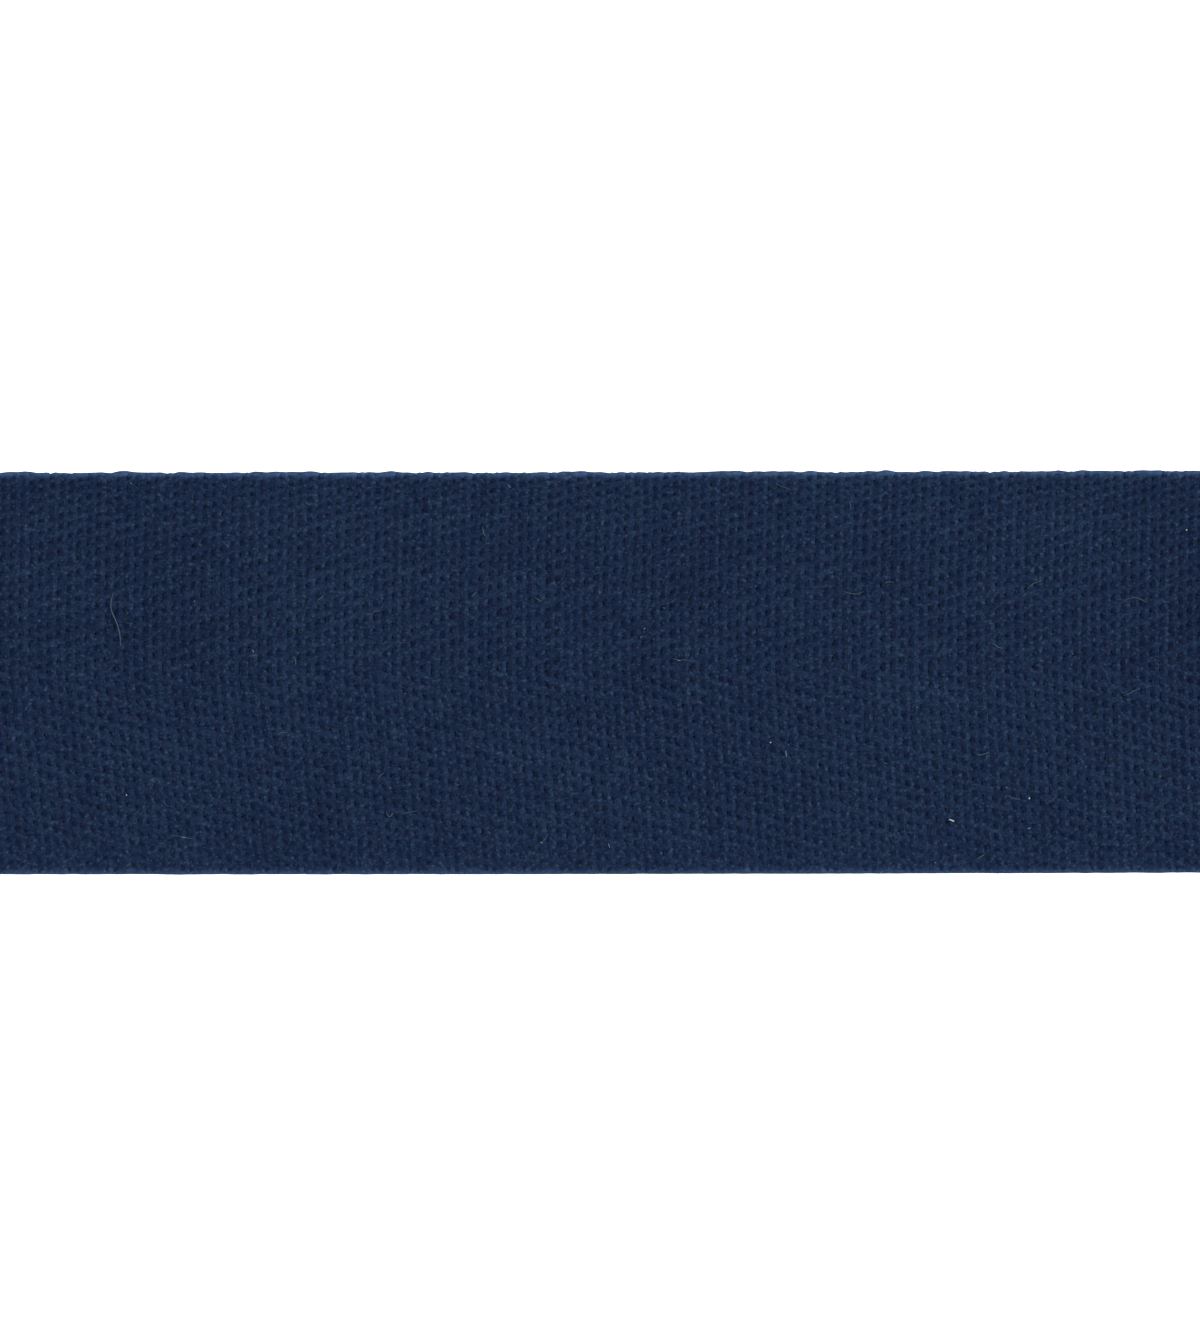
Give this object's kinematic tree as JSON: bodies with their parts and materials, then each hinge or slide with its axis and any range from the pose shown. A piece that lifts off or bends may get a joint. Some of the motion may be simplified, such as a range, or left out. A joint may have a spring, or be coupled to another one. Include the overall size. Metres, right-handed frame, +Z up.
{
  "type": "herringbone twill tape",
  "caption": "Short straight length of woven herringbone cotton tape, lying flat, with round woven selvedges and plain cut ends.",
  "frame": {"origin": "centre of the underside, where the tape lies on the surface", "axes": "+X along the tape, +Y across it to the other selvedge, +Z up out of the face"},
  "size_m": [0.0896, 0.0256, 0.001],
  "materials": {
    "navy_cotton": "matt navy cotton, woven as a herringbone twill with a fine fuzz"
  },
  "bodies": {
    "root": {"tape": "navy_cotton"}
  },
  "joints": []
}
